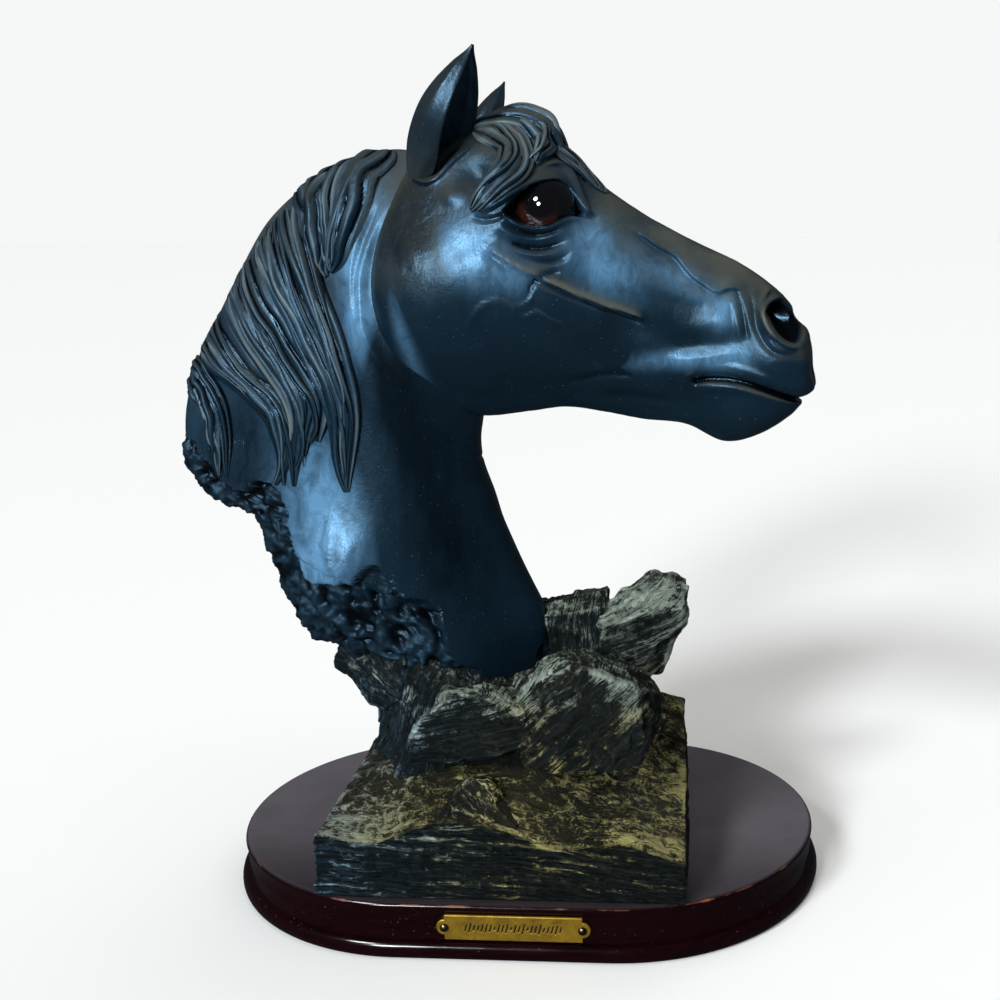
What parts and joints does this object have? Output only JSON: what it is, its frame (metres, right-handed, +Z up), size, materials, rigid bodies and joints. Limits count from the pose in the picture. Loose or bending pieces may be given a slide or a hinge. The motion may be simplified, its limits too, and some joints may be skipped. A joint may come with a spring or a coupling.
{
  "type": "horse head sculpture",
  "caption": "Dark bronze-look cast horse head with a flowing mane rising from a layered rock, on an oval lacquered wooden plinth with a small brass plate.",
  "frame": {"origin": "centre of the plinth's underside", "axes": "+Z up, +X the way the horse looks, -Y the side the mane falls on and the nameplate faces"},
  "size_m": [0.2404, 0.1514, 0.3055],
  "materials": {
    "patinated_resin": "cast resin, blue-black bronze patina with a satin sheen, dry-brushed gold and silver on the rock",
    "lacquered_mahogany": "dark red-brown mahogany stain under gloss lacquer",
    "brass_sheet": "rolled sheet, mottled and slightly tarnished",
    "pin_brass": "tarnished round-head pins",
    "eye_glass": "polished dark brown glass eyes"
  },
  "bodies": {
    "root": {"cast_horse_head_and_rock": "patinated_resin", "oval_wooden_plinth": "lacquered_mahogany", "brass_nameplate": "brass_sheet", "pin_left": "pin_brass", "pin_right": "pin_brass", "eye_near": "eye_glass", "eye_far": "eye_glass"}
  },
  "joints": []
}
